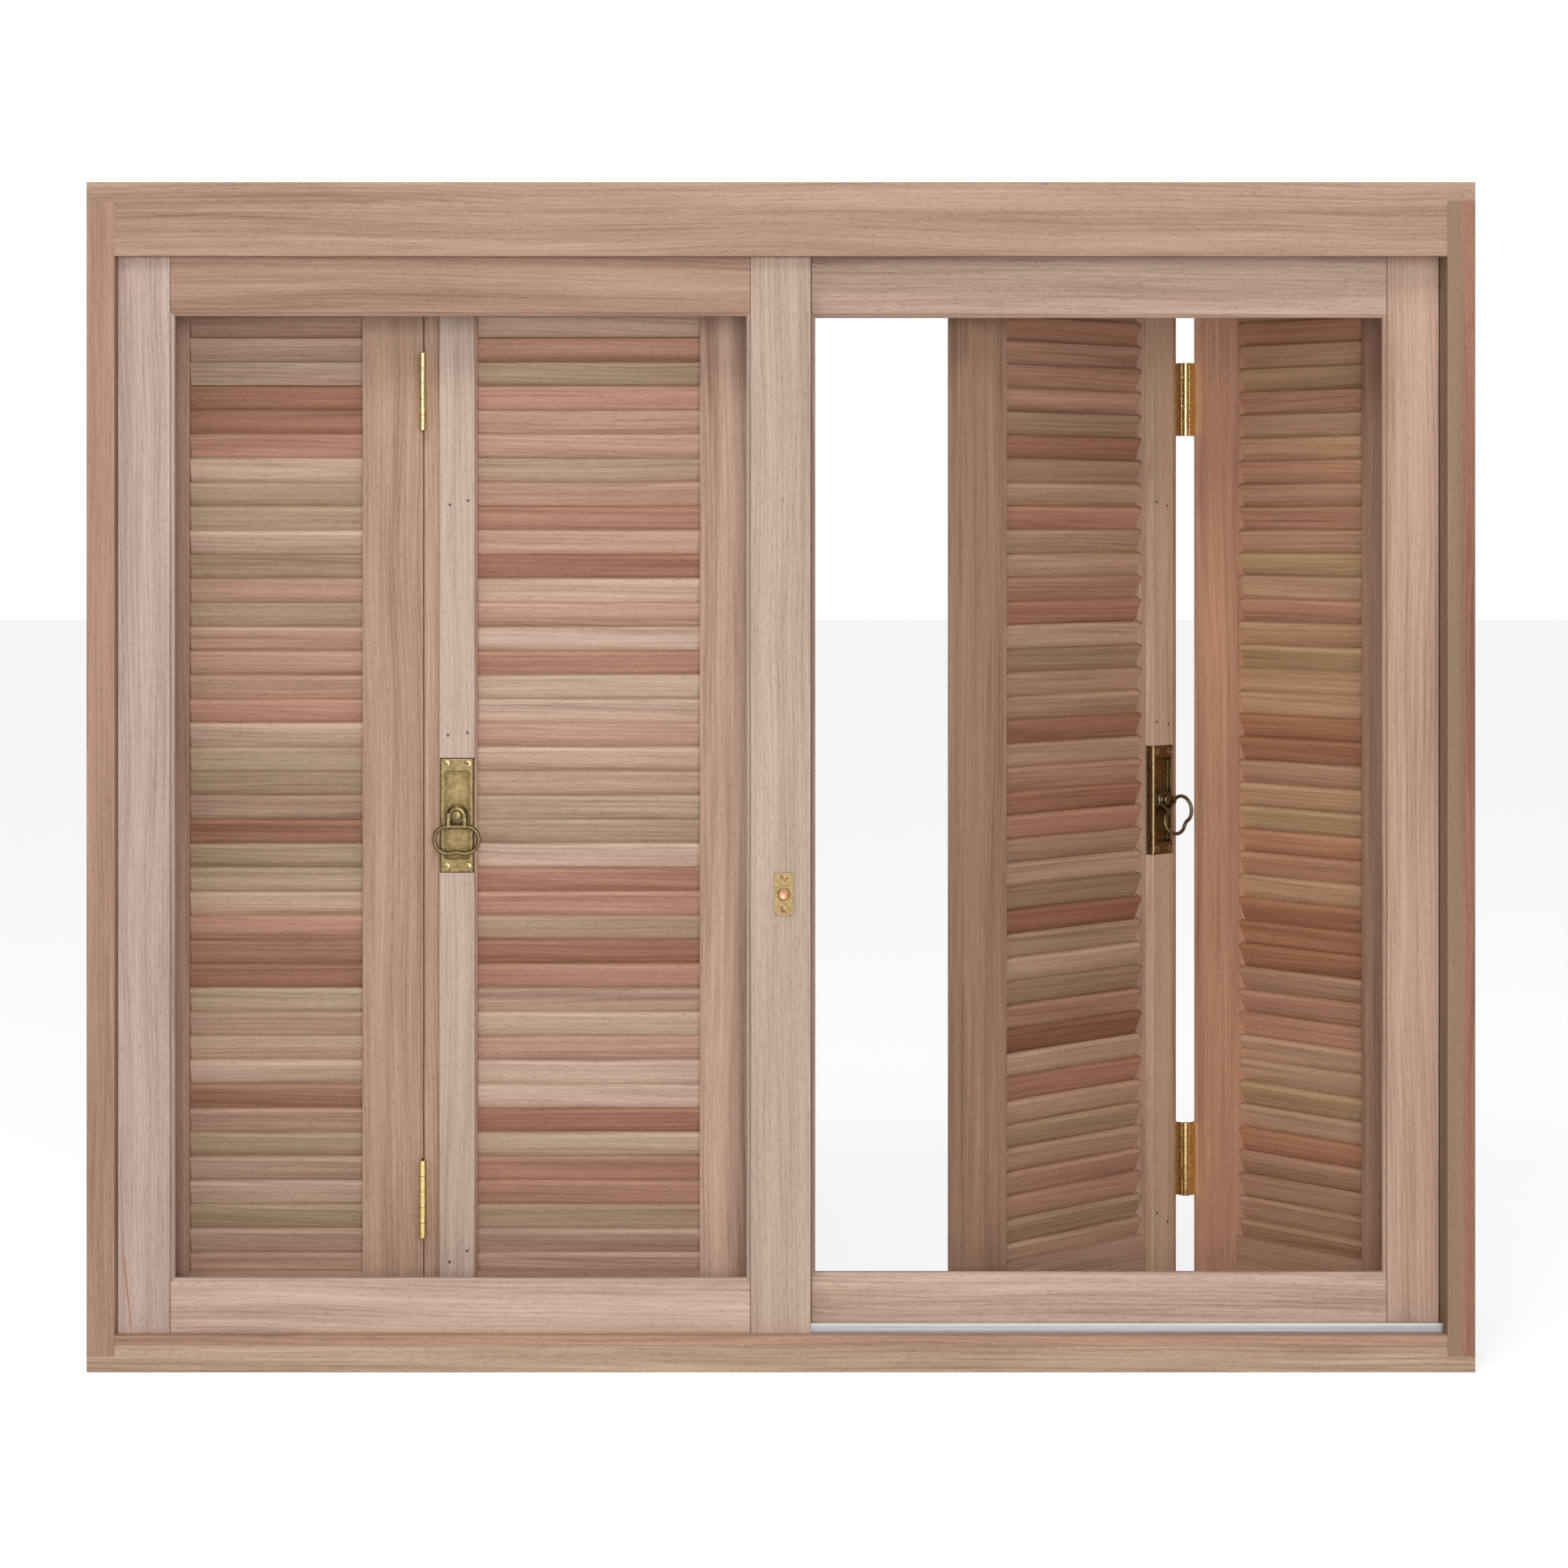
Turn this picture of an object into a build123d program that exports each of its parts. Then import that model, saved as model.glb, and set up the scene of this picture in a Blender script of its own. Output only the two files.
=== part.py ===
from build123d import *
import math
import os

# Wooden window seen from indoors: two hanging sashes slide across each other at the front, and behind
# them two pairs of louvred leaves fold outwards, one pair closed and one pair standing open.
# Millimetres. X to the right, Y outdoors, Z up, origin at the middle of the sill's underside.

os.makedirs("parts", exist_ok=True)

# Frame
width, height, depth = 1400.0, 1200.0, 140.0
jamb_t, head_t, sill_t = 28.0, 30.0, 27.0
housing = 11.0                       # how far the jambs are let into head and sill
weathering = (8.0, 3.0)              # fall planed on the sill's outer edge
bead_t, bead_h = 12.0, 10.0          # bead on the sill in front of the sashes
pelmet_t, pelmet_h = 12.0, 44.5      # board under the head that hides the tracks
post_w = 34.0                        # middle post between the two pairs of leaves

# Sliding sashes
sash_t, sash_overlap, sash_gap, side_gap = 28.0, 60.0, 3.0, 1.0
bead_gap = 2.0
sash_floor_gap, sash_head_gap = 9.0, 38.0
stile_w, meeting_w, rail_top_w, rail_low_w = 53.0, 61.0, 62.0, 51.5   # faces up to the chamfer
bevel, lip = 4.0, 10.0               # chamfer round the opening, depth of the lip behind the face
rebate_w = 9.0
tenon_t, tenon_len, fit = 10.0, 25.0, 0.2
groove_w, groove_h = 5.0, 12.0

# Hanging gear
track_w, track_t, track_drop, track_foot = 20.0, 1.6, 27.0, 10.0
wheel_r, wheel_w, axle_r, bore_gap = 9.0, 6.0, 2.5, 0.05
hanger_t, hanger_len, hanger_inset = 2.5, 40.0, 110.0
guide_foot, guide_t, guide_web, guide_h = 12.0, 1.5, 2.5, 17.0

# Louvred leaves
leaf_t, leaf_room = 30.0, 27.0       # room between the rear sash and the leaves
leaf_gap, leaf_side, post_gap, joint_gap = 3.0, 2.0, 4.0, 1.0
jamb_leaf_share = 25 / 54             # the jamb leaf's share of the width of a pair
leaf_stile, leaf_edge, leaf_inner = 58.0, 63.0, 55.0
lap, lap_gap = 8.0, 0.4              # half-lap where two leaves of a pair meet
edge_fall = 4.0                      # bevel on the meeting edges
leaf_rail = 52.3
leaf_tenon_h, leaf_tenon_len = 30.0, 28.0
slat_pitch = 24.96
slat_t, slat_w, slat_tilt = 7.5, 33.5, 23.0
slat_set_back, slat_let_in, slat_end = 5.6, 8.0, 0.5
slat_in_rail = 12.0                  # how far the groove for the top slat may reach into the rail
first_nose = 70.7                    # top of the lowest slat above the leaf's lower end

# Ironmongery
hinge_len, knuckle_gap, pin_r = 80.0, 0.3, 2.0
plate_t, barrel_r, jamb_barrel_r = 1.5, 3.6, 3.5
hinge_foot, hinge_top = 129.0, 175.0   # hinge middles from the lower and the upper end of the leaves
stand_off = 13.0                     # pin of the middle hinges in front of the leaves
batten_w, batten_t, batten_inset = 37.0, 9.4, 16.0
rod_r, rod_depth, rod_gap, rod_throw = 2.5, 4.0, 0.4, 18.0
handle_z, handle_w, handle_h, handle_t = 554.8, 34.5, 118.5, 9.7
dish_w, dish_h, dish_d = 27.3, 92.7, 5.0
ring_bar_y, ring_drop, ring_wire = 13.0, 11.5, 2.0
latch_z, latch_w, latch_h, latch_t = 481.0, 20.0, 43.0, 1.6

# The open pair: how far its outer leaf has swung, and how much faster the pair folds
open_angle, fold_ratio = 50.0, 1.92

# Derived places
front = -depth / 2
inner_x = width / 2 - jamb_t
head_z = height - head_t
sash_y = front + bead_t + bead_gap
sash_step = sash_t + sash_gap
sash_x0, sash_x1 = side_gap - inner_x, sash_overlap / 2
sash_z0, sash_z1 = sill_t + sash_floor_gap, head_z - sash_head_gap
leaf_y = sash_y + sash_step + sash_t + leaf_room
leaf_z0, leaf_z1 = sill_t + leaf_gap, head_z - leaf_gap
edge_x = leaf_side - inner_x                    # leaf 1, edge at the jamb
meet_x = -post_w / 2 - post_gap                 # leaf 2, free edge
jamb_leaf_w = (meet_x - edge_x - joint_gap) * jamb_leaf_share
joint_x = edge_x + jamb_leaf_w                  # leaf 1, edge at the joint
fold_x = joint_x + joint_gap                    # leaf 2, edge at the joint
hinge_low, hinge_high = leaf_z0 + hinge_foot, leaf_z1 - hinge_top
slat_count = int((leaf_z1 - leaf_z0 - leaf_rail - first_nose + slat_in_rail) / slat_pitch) + 1
mid_y = leaf_y + leaf_t / 2
jamb_pin = (-inner_x + leaf_side / 2, leaf_y + leaf_t + 1)
fold_pin = (joint_x + joint_gap / 2, leaf_y - stand_off)
rod_x, rod_y = fold_x + batten_inset + batten_w / 2, leaf_y - rod_depth
handle_y = leaf_y - handle_t
slat_z = leaf_z0 + first_nose - slat_t / 2 + slat_pitch * (slat_count - 1) / 2
slat_y = leaf_y + slat_set_back + slat_t / 2


def upright(points, z0, z1, mode=Mode.ADD):
    """A piece with one section over its height: points in plan."""
    with BuildSketch(Plane.XY.offset(z0)) as section:
        Polygon(*points, align=None)
    extrude(section.sketch, amount=z1 - z0, mode=mode)


def bar(x0, x1, y0, y1, z0, z1, mode=Mode.ADD):
    """A square-edged piece between six limits."""
    upright([(x0, y0), (x1, y0), (x1, y1), (x0, y1)], z0, z1, mode)


def face_on(points, y0, y1, mode=Mode.ADD):
    """A piece cut from a board: points in the front view, from y0 back to y1."""
    with BuildSketch(Plane.XZ.offset(-y1)) as outline:
        Polygon(*points, align=None)
    extrude(outline.sketch, amount=y1 - y0, mode=mode)


def run(points, x0, x1, mode=Mode.ADD):
    """A moulding along X: points are depth and height."""
    with BuildSketch(Plane.YZ.offset(x0)) as section:
        Polygon(*points, align=None)
    extrude(section.sketch, amount=x1 - x0, mode=mode)


def rounded(radius, sides, mode=Mode.ADD):
    """A round outline in flats: inside the circle for a pin, about it for a hole. No sides: a true circle."""
    if sides:
        RegularPolygon(radius, sides, major_radius=mode == Mode.ADD, rotation=180 / sides)
    else:
        Circle(radius)


def peg(x, y, radius, z0, z1, mode=Mode.ADD, sides=8):
    """An upright pin or hole."""
    with BuildSketch(Plane.XY.offset(z0)) as section:
        with Locations((x, y)):
            rounded(radius, sides, mode)
    extrude(section.sketch, amount=z1 - z0, mode=mode)


def disc(x, z, y, radius, out0, out1, mode=Mode.ADD, sides=12):
    """A pin or hole on an axis towards the room, between two distances out of the face at y."""
    with BuildSketch(Plane.XZ.offset(out0 - y)) as section:
        with Locations((x, z)):
            rounded(radius, sides, mode)
    extrude(section.sketch, amount=out1 - out0, mode=mode)


def cone(x, z, y, radius0, radius1, out0, out1, sides=12):
    """A tapered length on an axis towards the room."""
    ends = []
    for radius, out in ((radius0, out0), (radius1, out1)):
        with BuildSketch(Plane.XZ.offset(out - y)) as section:
            with Locations((x, z)):
                rounded(radius, sides)
        ends.append(section.sketch)
    loft(ends)


def right_hand(piece):
    """The mirror image of a left-hand piece."""
    return mirror(piece.part, about=Plane.YZ, mode=Mode.PRIVATE)


def swung_out(piece, folded):
    """The right-hand twin of a leaf's piece, where the open pair stands."""
    twin = right_hand(piece)
    if folded:
        twin = twin.rotate(Axis((-fold_pin[0], fold_pin[1], 0), (0, 0, 1)), open_angle * fold_ratio)
    return twin.rotate(Axis((-jamb_pin[0], jamb_pin[1], 0), (0, 0, 1)), -open_angle)


# Fixed frame
with BuildPart() as head:
    face_on([(-width / 2, height), (-width / 2, head_z + housing), (-inner_x, head_z + housing),
             (-inner_x, head_z), (inner_x, head_z), (inner_x, head_z + housing),
             (width / 2, head_z + housing), (width / 2, height)], front, -front)
    for x in (-rod_x, rod_x):
        bar(x - 10, x + 10, rod_y - 12.5, rod_y + 12.5, head_z, head_z + plate_t, Mode.SUBTRACT)
        peg(x, rod_y, rod_r + 1.2, head_z, head_z + 12, Mode.SUBTRACT)

with BuildPart() as sill:
    face_on([(-width / 2, 0), (-width / 2, sill_t - housing), (-inner_x, sill_t - housing),
             (-inner_x, sill_t), (inner_x, sill_t), (inner_x, sill_t - housing),
             (width / 2, sill_t - housing), (width / 2, 0)], front, -front)
    run([(-front - weathering[0], sill_t), (-front, sill_t), (-front, sill_t - weathering[1])],
        -inner_x, inner_x, Mode.SUBTRACT)
    for x in (-rod_x, rod_x):
        bar(x - 10, x + 10, rod_y - 12.5, rod_y + 12.5, sill_t - plate_t, sill_t, Mode.SUBTRACT)
        peg(x, rod_y, rod_r + 1.2, sill_t - 12, sill_t, Mode.SUBTRACT)

with BuildPart() as jamb_left:
    bar(-width / 2, -inner_x, front, -front, sill_t - housing, head_z + housing)
    for z in (hinge_low, hinge_high):
        peg(*jamb_pin, jamb_barrel_r + 0.5, z - hinge_len / 2 - 0.3, z + hinge_len / 2 + 0.3, Mode.SUBTRACT)
        bar(-inner_x - plate_t, -inner_x, leaf_y + 6, jamb_pin[1], z - hinge_len / 2, z + hinge_len / 2,
            Mode.SUBTRACT)

with BuildPart() as jamb_right:
    add(right_hand(jamb_left))

with BuildPart() as centre_post:
    bar(-post_w / 2, post_w / 2, leaf_y, leaf_y + leaf_t, sill_t, head_z)
    chamfer(centre_post.edges().filter_by(Axis.Z), length=2)

with BuildPart() as pelmet:
    run([(front, head_z - pelmet_h), (front + pelmet_t, head_z - pelmet_h), (front + pelmet_t, head_z),
         (front, head_z)], -inner_x, inner_x)

with BuildPart() as bottom_bead:
    run([(front, sill_t), (front + bead_t, sill_t), (front + bead_t, sill_t + bead_h),
         (front + 1, sill_t + bead_h), (front, sill_t + bead_h - 1)], -inner_x, inner_x)

with BuildPart() as rod_keepers:
    for x in (-rod_x, rod_x):
        for z in (head_z, sill_t - plate_t):
            bar(x - 10, x + 10, rod_y - 12.5, rod_y + 12.5, z, z + plate_t)
            peg(x, rod_y, rod_r + 1, z, z + plate_t, Mode.SUBTRACT)

# Tracks above and guides below, one pair of each
rail_y = sash_y + 2
foot_z = head_z - track_drop
with BuildPart() as top_tracks:
    for y in (rail_y, rail_y + sash_step):
        run([(y, head_z), (y, foot_z), (y + track_foot, foot_z), (y + track_foot, foot_z + track_t),
             (y + track_t, foot_z + track_t), (y + track_t, head_z - track_t),
             (y + track_w, head_z - track_t), (y + track_w, head_z)], -inner_x, inner_x)

guide_y = sash_y + sash_t / 2
with BuildPart() as bottom_guides:
    for y in (guide_y, guide_y + sash_step):
        run([(y - guide_foot / 2, sill_t), (y + guide_foot / 2, sill_t),
             (y + guide_foot / 2, sill_t + guide_t), (y + guide_web / 2, sill_t + guide_t),
             (y + guide_web / 2, sill_t + guide_h), (y - guide_web / 2, sill_t + guide_h),
             (y - guide_web / 2, sill_t + guide_t), (y - guide_foot / 2, sill_t + guide_t)],
            -inner_x, inner_x)

# Left sash, the front one: the stiles run through, the moulded edges meet in mitres
open_x0, open_x1 = sash_x0 + stile_w + bevel, sash_x1 - meeting_w - bevel
open_z0, open_z1 = sash_z0 + rail_low_w + bevel, sash_z1 - rail_top_w - bevel
sash_back = sash_y + sash_t
tenon_y = sash_y + (sash_t - tenon_t) / 2
low_tenon = (sash_z0 + groove_h + 4, open_z0 - rebate_w - 3)
top_tenon = (open_z1 + rebate_w + 3, sash_z1 - 10)
latch_x = (sash_x1 + open_x1 + bevel) / 2 + 3.5
latch_screws_z = (latch_z - 16.3, latch_z + 16.3)


def rear_cuts():
    """The glazing rebate round the opening and the guide groove under the sash."""
    bar(open_x0 - rebate_w, open_x1 + rebate_w, sash_y + lip, sash_back, open_z0 - rebate_w,
        open_z1 + rebate_w, Mode.SUBTRACT)
    bar(sash_x0, sash_x1, guide_y - groove_w / 2, guide_y + groove_w / 2, sash_z0, sash_z0 + groove_h,
        Mode.SUBTRACT)


with BuildPart() as left_sash_stiles:
    for edge, inner in ((sash_x0, open_x0), (sash_x1, open_x1)):
        arris = inner + math.copysign(bevel, edge - inner)
        face_on([(edge, sash_z0), (arris, sash_z0), (arris, open_z0 - bevel), (inner, open_z0),
                 (inner, open_z1), (arris, open_z1 + bevel), (arris, sash_z1), (edge, sash_z1)],
                sash_y, sash_back)
        way = math.copysign(1, edge - inner)
        upright([(inner + way * bevel, sash_y), (inner - way, sash_y), (inner - way, sash_y + bevel + 1)],
                sash_z0, sash_z1, Mode.SUBTRACT)
    rear_cuts()
    for z0, z1 in (low_tenon, top_tenon):
        bar(open_x0 - bevel - tenon_len - fit, open_x1 + bevel + tenon_len + fit, tenon_y - fit,
            tenon_y + tenon_t + fit, z0 - fit, z1 + fit, Mode.SUBTRACT)
    disc(latch_x, latch_z, sash_y, 6.3, -14, 0, Mode.SUBTRACT)
    for z in latch_screws_z:
        disc(latch_x, z, sash_y, 1.7, -15, 0, Mode.SUBTRACT, 6)

with BuildPart() as left_sash_rails:
    x0, x1 = open_x0 - bevel, open_x1 + bevel
    for z_out, z_in, tenon in ((sash_z0, open_z0, low_tenon), (sash_z1, open_z1, top_tenon)):
        arris = z_in + math.copysign(bevel, z_out - z_in)
        face_on([(x0, z_out), (x0, arris), (open_x0, z_in), (open_x1, z_in), (x1, arris), (x1, z_out)],
                sash_y, sash_back)
        way = math.copysign(1, z_out - z_in)
        run([(sash_y, z_in + way * bevel), (sash_y, z_in - way), (sash_y + bevel + 1, z_in - way)],
            x0, x1, Mode.SUBTRACT)
        bar(x0 - tenon_len, x1 + tenon_len, tenon_y, tenon_y + tenon_t, *tenon)
    rear_cuts()

wheel_y = rail_y + track_t + 0.9 + wheel_w / 2
wheel_z = foot_z + track_t + 0.1 + wheel_r
hanger_y = wheel_y + wheel_w / 2 + 2.5
hanger_x = (sash_x0 + hanger_inset, sash_x1 - hanger_inset)
with BuildPart() as left_sash_hangers:
    for x in hanger_x:
        face_on([(x - hanger_len / 2, sash_z1), (x + hanger_len / 2, sash_z1),
                 (x + hanger_len / 2, sash_z1 + hanger_t), (x + 9, sash_z1 + 9), (x + 6, wheel_z + 6),
                 (x - 6, wheel_z + 6), (x - 9, sash_z1 + 9), (x - hanger_len / 2, sash_z1 + hanger_t)],
                hanger_y, hanger_y + hanger_t)
        bar(x - hanger_len / 2, x + hanger_len / 2, sash_y + 3, sash_back - 5, sash_z1, sash_z1 + hanger_t)
        disc(x, wheel_z, hanger_y, 4, -1, 2.2, sides=8)
        disc(x, wheel_z, hanger_y, axle_r, 2.2, 2.5 + wheel_w + 0.6, sides=0)


def wheel(x):
    """A track wheel with its bore."""
    disc(x, wheel_z, wheel_y, wheel_r, -wheel_w / 2, wheel_w / 2, sides=16)
    disc(x, wheel_z, wheel_y, axle_r + bore_gap, -wheel_w / 2, wheel_w / 2, Mode.SUBTRACT, 8)


with BuildPart() as left_wheel_outer:
    wheel(hanger_x[0])

with BuildPart() as left_wheel_inner:
    wheel(hanger_x[1])

with BuildPart() as latch_plate:
    with BuildSketch(Plane.XZ.offset(-sash_y)) as plate_face:
        with Locations((latch_x, latch_z)):
            Rectangle(latch_w, latch_h)
        chamfer(plate_face.vertices(), length=2)
    extrude(plate_face.sketch, amount=latch_t)
    disc(latch_x, latch_z, sash_y, 6.2, 0, latch_t, Mode.SUBTRACT)
    for z in latch_screws_z:
        disc(latch_x, z, sash_y, 1.8, 0, latch_t, Mode.SUBTRACT, 6)

with BuildPart() as latch_button:
    disc(latch_x, latch_z, sash_y, 6, -8, 3)
    cone(latch_x, latch_z, sash_y, 6, 5.2, 3, 3.8)

with BuildPart() as latch_screws:
    for z in latch_screws_z:
        disc(latch_x, z, sash_y, 1.6, -14, latch_t, sides=6)
        cone(latch_x, z, sash_y, 3.4, 2.6, latch_t, latch_t + 1, 8)

# Right sash, the rear one: the mirror image, one track further out
def rear_sash(piece):
    """The rear sash's twin of a piece of the front sash."""
    return right_hand(piece).moved(Location((0, sash_step, 0)))


with BuildPart() as sash_blank:                 # left sash without the latch, to mirror
    add(left_sash_stiles.part)
    bar(latch_x - 8, latch_x + 8, sash_y, sash_y + 16, latch_z - 20, latch_z + 20)

with BuildPart() as right_sash_stiles:
    add(rear_sash(sash_blank))

with BuildPart() as right_sash_rails:
    add(rear_sash(left_sash_rails))

with BuildPart() as right_sash_hangers:
    add(rear_sash(left_sash_hangers))

with BuildPart() as right_wheel_outer:
    add(rear_sash(left_wheel_outer))

with BuildPart() as right_wheel_inner:
    add(rear_sash(left_wheel_inner))

# Hinges. Each has five knuckles: the first, third and fifth on one half, the others on the other half.
knuckle_pitch = (hinge_len + knuckle_gap) / 5


def hinge_half(pin, plate, radius, first):
    """One half of both hinges on a line: plate = x0, x1, y0, y1, with tabs that reach the pin."""
    x0, x1, y0, y1 = plate
    for z in (hinge_low, hinge_high):
        bar(x0, x1, y0, y1, z - hinge_len / 2, z + hinge_len / 2)
        for i in range(first, 5, 2):
            z0 = z - hinge_len / 2 + i * knuckle_pitch
            z1 = z0 + knuckle_pitch - knuckle_gap
            bar(x0, x1, min(y0, pin[1]), max(y1, pin[1]), z0, z1)
            peg(*pin, radius, z0, z1)
        peg(*pin, pin_r + bore_gap, z - hinge_len / 2, z + hinge_len / 2, Mode.SUBTRACT, 6)


def hinge_pins(pin):
    """The two pins on a hinge line."""
    for z in (hinge_low, hinge_high):
        peg(*pin, pin_r, z - hinge_len / 2, z + hinge_len / 2, sides=0)


plate_y = (leaf_y + 6, jamb_pin[1] - 4)         # jamb hinges: plates let into jamb and edge
fold_y = (fold_pin[1] + barrel_r + 0.6, mid_y)  # middle hinges: plates let into both edges
frame_plate = (-inner_x - plate_t, -inner_x, *plate_y)
edge_plate = (edge_x, edge_x + plate_t, *plate_y)
fold_plate_1 = (joint_x - plate_t, joint_x, *fold_y)
fold_plate_2 = (fold_x, fold_x + plate_t, *fold_y)

with BuildPart() as jamb_hinge_left:
    hinge_half(jamb_pin, frame_plate, jamb_barrel_r, 0)

with BuildPart() as jamb_pins_left:
    hinge_pins(jamb_pin)

with BuildPart() as leaf_1_edge_hinge:
    hinge_half(jamb_pin, edge_plate, jamb_barrel_r, 1)

with BuildPart() as leaf_1_fold_hinge:
    hinge_half(fold_pin, fold_plate_1, barrel_r, 0)

with BuildPart() as leaf_1_fold_pins:
    hinge_pins(fold_pin)

with BuildPart() as leaf_2_fold_hinge:
    hinge_half(fold_pin, fold_plate_2, barrel_r, 1)

with BuildPart() as jamb_hinge_right:
    add(right_hand(jamb_hinge_left))

with BuildPart() as jamb_pins_right:
    add(right_hand(jamb_pins_left))

# Louvred leaves. The slats lean outwards as they fall, so that rain runs off outdoors.
tilt = math.radians(slat_tilt)
down = (math.sin(tilt), -math.cos(tilt))        # along a slat, from its nose to its tail
out = (math.cos(tilt), math.sin(tilt))          # square to a slat


def on_slat(across, along):
    """A point of the slat's section, measured from the middle of its rounded nose."""
    return (across * out[0] + along * down[0], across * out[1] + along * down[1])


half_t = slat_t / 2
nose = [on_slat(half_t * math.cos(math.radians(a)), -half_t * math.sin(math.radians(a)))
        for a in (0, 60, 120, 180)]
slat_section = nose + [on_slat(-half_t, slat_w - half_t), on_slat(half_t, slat_w - half_t)]
slot_section = [on_slat(half_t + fit, -half_t - fit), on_slat(-half_t - fit, -half_t - fit),
                on_slat(-half_t - fit, slat_w - half_t + fit), on_slat(half_t + fit, slat_w - half_t + fit)]
rail_z0, rail_z1 = leaf_z0 + leaf_rail, leaf_z1 - leaf_rail
leaf_tenons = ((leaf_z0 + 4, leaf_z0 + 4 + leaf_tenon_h), (leaf_z1 - 4 - leaf_tenon_h, leaf_z1 - 4))


def slats(section, x0, x1, mode=Mode.ADD):
    """The whole ladder of slats, or of the slots that take them, from x0 to x1."""
    with BuildSketch(Plane.YZ.offset(x0)) as ladder:
        with Locations((slat_y, slat_z)):
            with GridLocations(1, slat_pitch, 1, slat_count):
                Polygon(*section, align=None)
    extrude(ladder.sketch, amount=x1 - x0, mode=mode)


def leaf_mortises(x0, x1):
    """Mortises for the rails of a leaf, from x0 to x1."""
    for z0, z1 in leaf_tenons:
        bar(x0, x1, mid_y - tenon_t / 2 - fit, mid_y + tenon_t / 2 + fit, z0 - fit, z1 + fit, Mode.SUBTRACT)


def leaf_rails(x0, x1):
    """Both rails between two stiles, with tenons and with grooves for the end slats."""
    bar(x0, x1, leaf_y, leaf_y + leaf_t, leaf_z0, rail_z0)
    bar(x0, x1, leaf_y, leaf_y + leaf_t, rail_z1, leaf_z1)
    slats(slot_section, x0, x1, Mode.SUBTRACT)
    for z0, z1 in leaf_tenons:
        bar(x0 - leaf_tenon_len + fit, x1 + leaf_tenon_len - fit, mid_y - tenon_t / 2,
            mid_y + tenon_t / 2, z0, z1)


def hinge_recess(x0, x1, y0, y1):
    """Recesses that let the plates of a hinge line lie flush."""
    for z in (hinge_low, hinge_high):
        bar(x0, x1, y0, y1, z - hinge_len / 2, z + hinge_len / 2, Mode.SUBTRACT)


slats_1 = (edge_x + leaf_stile, joint_x - leaf_edge)
slats_2 = (fold_x + leaf_inner, meet_x - leaf_edge)
back_y = leaf_y + leaf_t

with BuildPart() as leaf_1_stiles:
    bar(edge_x, slats_1[0], leaf_y, back_y, leaf_z0, leaf_z1)
    upright([(slats_1[1], leaf_y), (joint_x, leaf_y), (joint_x, mid_y), (joint_x - lap, mid_y),
             (joint_x - lap, back_y), (slats_1[1], back_y)], leaf_z0, leaf_z1)
    for z in (hinge_low, hinge_high):
        peg(*jamb_pin, jamb_barrel_r + 0.5, z - hinge_len / 2 - 0.3, z + hinge_len / 2 + 0.3, Mode.SUBTRACT)
    hinge_recess(edge_plate[0], edge_plate[1], plate_y[0], back_y)
    hinge_recess(joint_x - plate_t, joint_x, leaf_y, mid_y)
    slats(slot_section, slats_1[0] - slat_let_in, slats_1[1] + slat_let_in, Mode.SUBTRACT)
    leaf_mortises(slats_1[0] - leaf_tenon_len, slats_1[1] + leaf_tenon_len)

with BuildPart() as leaf_1_rails:
    leaf_rails(*slats_1)

with BuildPart() as leaf_1_slats:
    slats(slat_section, slats_1[0] - slat_let_in + slat_end, slats_1[1] + slat_let_in - slat_end)

with BuildPart() as leaf_2_stiles:
    upright([(slats_2[0], leaf_y), (fold_x, leaf_y), (fold_x, mid_y + lap_gap),
             (fold_x - lap, mid_y + lap_gap), (fold_x - lap, back_y), (slats_2[0], back_y)],
            leaf_z0, leaf_z1)
    upright([(slats_2[1], leaf_y), (meet_x, leaf_y), (meet_x - edge_fall, back_y), (slats_2[1], back_y)],
            leaf_z0, leaf_z1)
    hinge_recess(fold_x, fold_x + plate_t, leaf_y, mid_y)
    slats(slot_section, slats_2[0] - slat_let_in, slats_2[1] + slat_let_in, Mode.SUBTRACT)
    leaf_mortises(slats_2[0] - leaf_tenon_len, slats_2[1] + leaf_tenon_len)

with BuildPart() as leaf_2_rails:
    leaf_rails(*slats_2)

with BuildPart() as leaf_2_slats:
    slats(slat_section, slats_2[0] - slat_let_in + slat_end, slats_2[1] + slat_let_in - slat_end)

# Bolt, handle and battens on leaf 2
batten_y = leaf_y - batten_t
groove_half = rod_r + rod_gap
groove_y = rod_y - rod_r - rod_gap
handle_z0, handle_z1 = handle_z - handle_h / 2, handle_z + handle_h / 2
dish_y = handle_y + dish_d
pocket_y = dish_y + 1.5
pocket_w, pocket_h = dish_w + 3, dish_h - 4
rod_end = dish_h / 2 + 3.2                      # inner end of each rod when drawn back

with BuildPart() as leaf_2_battens:
    for z0, z1 in ((leaf_z0, handle_z0), (handle_z1, leaf_z1)):
        x0, x1 = rod_x - batten_w / 2, rod_x + batten_w / 2
        upright([(x0, leaf_y), (x0, batten_y + 1), (x0 + 1, batten_y), (x1 - 1, batten_y),
                 (x1, batten_y + 1), (x1, leaf_y), (rod_x + groove_half, leaf_y),
                 (rod_x + groove_half, groove_y), (rod_x - groove_half, groove_y),
                 (rod_x - groove_half, leaf_y)], z0, z1)

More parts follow.
